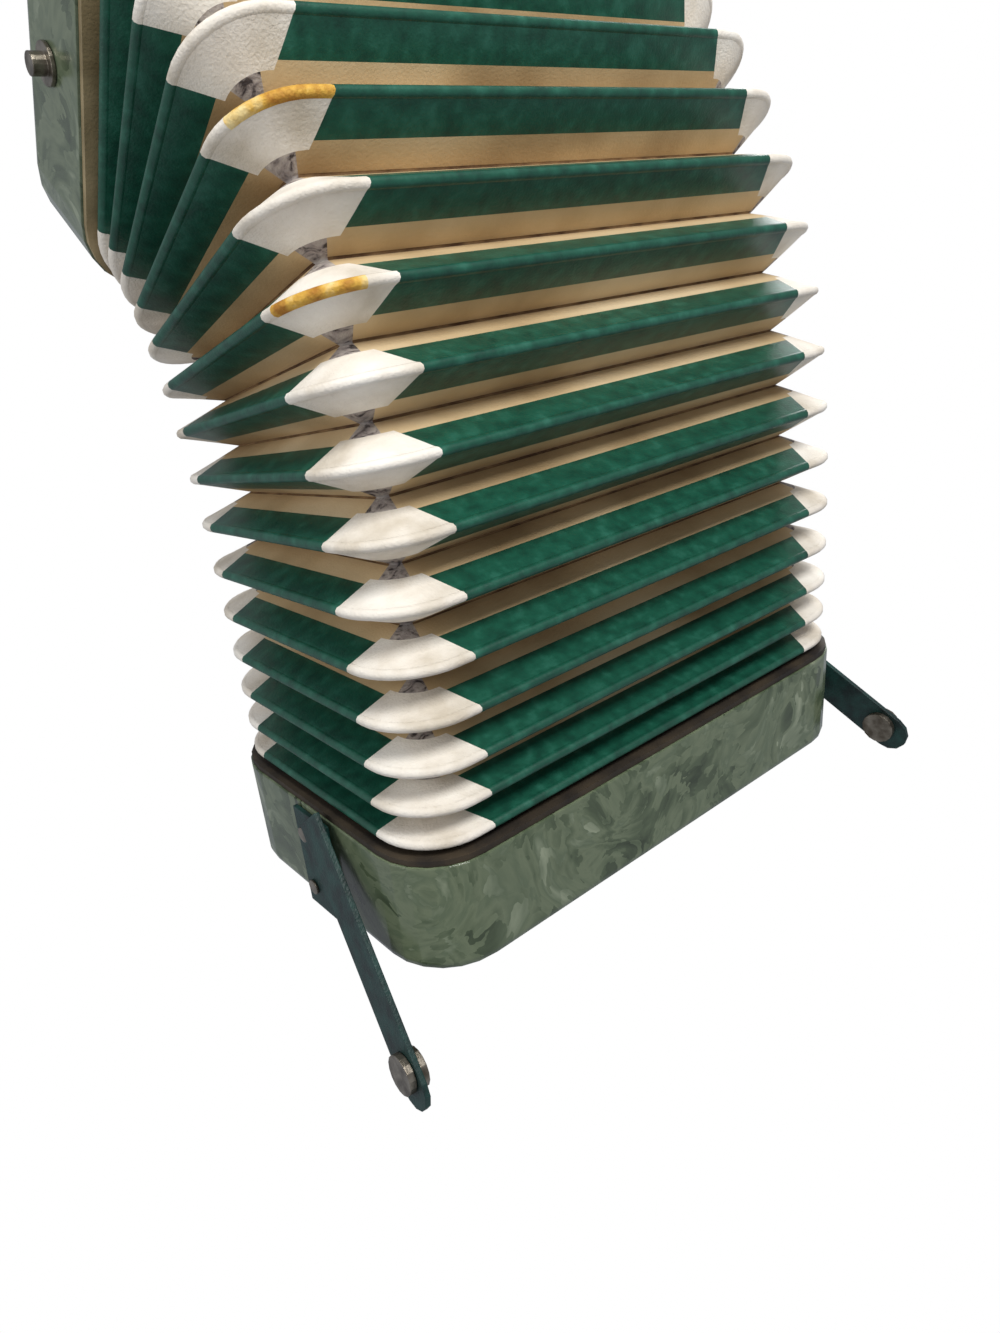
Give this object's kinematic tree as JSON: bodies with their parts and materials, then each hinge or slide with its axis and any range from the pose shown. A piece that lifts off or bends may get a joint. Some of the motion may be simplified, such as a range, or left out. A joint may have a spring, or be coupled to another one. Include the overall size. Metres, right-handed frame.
{
  "type": "button accordion",
  "caption": "Diatonic button accordion, bellows hanging open in a fan from the treble casing; folds close up, keys and straps move",
  "frame": {"origin": "middle of the grille's outer face", "axes": "+X along the long side, +Z square to the bass casing, towards the bellows"},
  "size_m": [0.3273, 0.2639, 0.499],
  "materials": {
    "pearloid": "worn",
    "green_tape": "worn",
    "card": "worn",
    "strap_leather": "worn",
    "wood": "worn",
    "steel": "worn",
    "button": "worn",
    "brass": "worn"
  },
  "bodies": {
    "treble": {"treble_case": "pearloid", "treble_frame": "wood", "grille": "pearloid", "fingerboard": "wood", "key_axle": "steel", "treble_reed_block": "wood", "treble_reed_plate": "brass", "left_stud": "steel", "right_stud": "steel", "bellows_card": "card"},
    "fold_15": {"fold_rim_15": "green_tape"},
    "fold_14": {"fold_rim_14": "green_tape"},
    "fold_13": {"fold_rim_13": "green_tape"},
    "fold_12": {"fold_rim_12": "green_tape"},
    "fold_11": {"fold_rim_11": "green_tape"},
    "fold_10": {"fold_rim_10": "green_tape"},
    "fold_09": {"fold_rim_09": "green_tape"},
    "fold_08": {"fold_rim_08": "green_tape"},
    "fold_07": {"fold_rim_07": "green_tape"},
    "fold_06": {"fold_rim_06": "green_tape"},
    "fold_05": {"fold_rim_05": "green_tape"},
    "fold_04": {"fold_rim_04": "green_tape"},
    "fold_03": {"fold_rim_03": "green_tape"},
    "fold_02": {"fold_rim_02": "green_tape"},
    "bass": {"fold_rim_01": "green_tape", "bass_case": "pearloid", "bass_cover": "pearloid", "bass_frame": "wood", "bass_reed_block": "wood", "bass_reed_plate": "brass", "hand_strap": "strap_leather", "left_strap_base": "strap_leather", "right_strap_base": "strap_leather", "left_rivet_1": "steel", "left_rivet_2": "steel", "right_rivet_1": "steel", "right_rivet_2": "steel"},
    "key_01": {"treble_key_01": "button"},
    "key_02": {"treble_key_02": "button"},
    "key_03": {"treble_key_03": "button"},
    "key_04": {"treble_key_04": "button"},
    "key_05": {"treble_key_05": "button"},
    "key_06": {"treble_key_06": "button"},
    "key_07": {"treble_key_07": "button"},
    "key_08": {"treble_key_08": "button"},
    "key_09": {"treble_key_09": "button"},
    "key_10": {"treble_key_10": "button"},
    "bass_key_1": {"bass_key_1": "button"},
    "bass_key_2": {"bass_key_2": "button"},
    "bass_key_3": {"bass_key_3": "button"},
    "bass_key_4": {"bass_key_4": "button"},
    "left_strap": {"left_strap": "strap_leather", "left_snap_cap": "steel", "left_snap_socket": "steel"},
    "right_strap": {"right_strap": "strap_leather", "right_snap_cap": "steel", "right_snap_socket": "steel"}
  },
  "joints": [
    {"name": "bellows_01", "type": "hinge", "parent": "treble", "child": "fold_15", "pos_m": [0, 0.00646, -0.09551], "axis": [1, 0, 0], "range_deg": [-2.91, 0], "deforming": ["bellows_card"]},
    {"name": "bellows_02", "type": "hinge", "parent": "fold_15", "child": "fold_14", "pos_m": [0, -0.00137, -0.09495], "axis": [1, 0, 0], "range_deg": [-7.98, 0], "deforming": ["bellows_card"]},
    {"name": "bellows_03", "type": "hinge", "parent": "fold_14", "child": "fold_13", "pos_m": [0, 0.00697, -0.11067], "axis": [1, 0, 0], "range_deg": [-7.6, 0], "deforming": ["bellows_card"]},
    {"name": "bellows_04", "type": "hinge", "parent": "fold_13", "child": "fold_12", "pos_m": [0, 0.01864, -0.12603], "axis": [1, 0, 0], "range_deg": [-7.08, 0], "deforming": ["bellows_card"]},
    {"name": "bellows_05", "type": "hinge", "parent": "fold_12", "child": "fold_11", "pos_m": [0, 0.03538, -0.14156], "axis": [1, 0, 0], "range_deg": [-6.38, 0], "deforming": ["bellows_card"]},
    {"name": "bellows_06", "type": "hinge", "parent": "fold_11", "child": "fold_10", "pos_m": [0, 0.06011, -0.15766], "axis": [1, 0, 0], "range_deg": [-5.53, 0], "deforming": ["bellows_card"]},
    {"name": "bellows_07", "type": "hinge", "parent": "fold_10", "child": "fold_09", "pos_m": [0, 0.09728, -0.17451], "axis": [1, 0, 0], "range_deg": [-4.56, 0], "deforming": ["bellows_card"]},
    {"name": "bellows_08", "type": "hinge", "parent": "fold_09", "child": "fold_08", "pos_m": [0, 0.15338, -0.19199], "axis": [1, 0, 0], "range_deg": [-3.58, 0], "deforming": ["bellows_card"]},
    {"name": "bellows_09", "type": "hinge", "parent": "fold_08", "child": "fold_07", "pos_m": [0, 0.23735, -0.20971], "axis": [1, 0, 0], "range_deg": [-2.67, 0], "deforming": ["bellows_card"]},
    {"name": "bellows_10", "type": "hinge", "parent": "fold_07", "child": "fold_06", "pos_m": [0, 0.36095, -0.2271], "axis": [1, 0, 0], "range_deg": [-1.91, 0], "deforming": ["bellows_card"]},
    {"name": "bellows_11", "type": "hinge", "parent": "fold_06", "child": "fold_05", "pos_m": [0, 0.53835, -0.24351], "axis": [1, 0, 0], "range_deg": [-1.32, 0], "deforming": ["bellows_card"]},
    {"name": "bellows_12", "type": "hinge", "parent": "fold_05", "child": "fold_04", "pos_m": [0, 0.78419, -0.25828], "axis": [1, 0, 0], "range_deg": [-0.88518, 0], "deforming": ["bellows_card"]},
    {"name": "bellows_13", "type": "hinge", "parent": "fold_04", "child": "fold_03", "pos_m": [0, 1.10791, -0.27082], "axis": [1, 0, 0], "range_deg": [-0.58346, 0], "deforming": ["bellows_card"]},
    {"name": "bellows_14", "type": "hinge", "parent": "fold_03", "child": "fold_02", "pos_m": [0, 1.50056, -0.28073], "axis": [1, 0, 0], "range_deg": [-0.37961, 0], "deforming": ["bellows_card"]},
    {"name": "bellows_15", "type": "hinge", "parent": "fold_02", "child": "bass", "pos_m": [0, 1.907, -0.28802], "axis": [1, 0, 0], "range_deg": [-0.24484, 0], "deforming": ["bellows_card"]},
    {"name": "treble_key_turn_01", "type": "hinge", "parent": "treble", "child": "key_01", "pos_m": [-0.09, -0.06006, 0.0691], "axis": [1, 0, 0], "range_deg": [0, 3.2], "stiffness_Nm_per_rad": 0.05, "springref_deg": -11.46},
    {"name": "treble_key_turn_02", "type": "hinge", "parent": "treble", "child": "key_02", "pos_m": [-0.07, -0.06006, 0.0691], "axis": [1, 0, 0], "range_deg": [0, 3.2], "stiffness_Nm_per_rad": 0.05, "springref_deg": -11.46},
    {"name": "treble_key_turn_03", "type": "hinge", "parent": "treble", "child": "key_03", "pos_m": [-0.05, -0.06006, 0.0691], "axis": [1, 0, 0], "range_deg": [0, 3.2], "stiffness_Nm_per_rad": 0.05, "springref_deg": -11.46},
    {"name": "treble_key_turn_04", "type": "hinge", "parent": "treble", "child": "key_04", "pos_m": [-0.03, -0.06006, 0.0691], "axis": [1, 0, 0], "range_deg": [0, 3.2], "stiffness_Nm_per_rad": 0.05, "springref_deg": -11.46},
    {"name": "treble_key_turn_05", "type": "hinge", "parent": "treble", "child": "key_05", "pos_m": [-0.01, -0.06006, 0.0691], "axis": [1, 0, 0], "range_deg": [0, 3.2], "stiffness_Nm_per_rad": 0.05, "springref_deg": -11.46},
    {"name": "treble_key_turn_06", "type": "hinge", "parent": "treble", "child": "key_06", "pos_m": [0.01, -0.06006, 0.0691], "axis": [1, 0, 0], "range_deg": [0, 3.2], "stiffness_Nm_per_rad": 0.05, "springref_deg": -11.46},
    {"name": "treble_key_turn_07", "type": "hinge", "parent": "treble", "child": "key_07", "pos_m": [0.03, -0.06006, 0.0691], "axis": [1, 0, 0], "range_deg": [0, 3.2], "stiffness_Nm_per_rad": 0.05, "springref_deg": -11.46},
    {"name": "treble_key_turn_08", "type": "hinge", "parent": "treble", "child": "key_08", "pos_m": [0.05, -0.06006, 0.0691], "axis": [1, 0, 0], "range_deg": [0, 3.2], "stiffness_Nm_per_rad": 0.05, "springref_deg": -11.46},
    {"name": "treble_key_turn_09", "type": "hinge", "parent": "treble", "child": "key_09", "pos_m": [0.07, -0.06006, 0.0691], "axis": [1, 0, 0], "range_deg": [0, 3.2], "stiffness_Nm_per_rad": 0.05, "springref_deg": -11.46},
    {"name": "treble_key_turn_10", "type": "hinge", "parent": "treble", "child": "key_10", "pos_m": [0.09, -0.06006, 0.0691], "axis": [1, 0, 0], "range_deg": [0, 3.2], "stiffness_Nm_per_rad": 0.05, "springref_deg": -11.46},
    {"name": "bass_key_slide_1", "type": "slide", "parent": "bass", "child": "bass_key_1", "axis": [0, 0, 1], "range_m": [0, 0.006], "stiffness_N_per_m": 300, "springref_m": -0.004},
    {"name": "bass_key_slide_2", "type": "slide", "parent": "bass", "child": "bass_key_2", "axis": [0, 0, 1], "range_m": [0, 0.006], "stiffness_N_per_m": 300, "springref_m": -0.004},
    {"name": "bass_key_slide_3", "type": "slide", "parent": "bass", "child": "bass_key_3", "axis": [0, 0, 1], "range_m": [0, 0.006], "stiffness_N_per_m": 300, "springref_m": -0.004},
    {"name": "bass_key_slide_4", "type": "slide", "parent": "bass", "child": "bass_key_4", "axis": [0, 0, 1], "range_m": [0, 0.006], "stiffness_N_per_m": 300, "springref_m": -0.004},
    {"name": "left_strap_fold", "type": "hinge", "parent": "bass", "child": "left_strap", "pos_m": [-0.1468, -0.11721, -0.29877], "axis": [0, -0.7615, 0.6481], "range_deg": [-60, 0]},
    {"name": "right_strap_fold", "type": "hinge", "parent": "bass", "child": "right_strap", "pos_m": [0.1468, -0.11721, -0.29877], "axis": [0, 0.507, -0.8619], "range_deg": [-60, 0]}
  ]
}
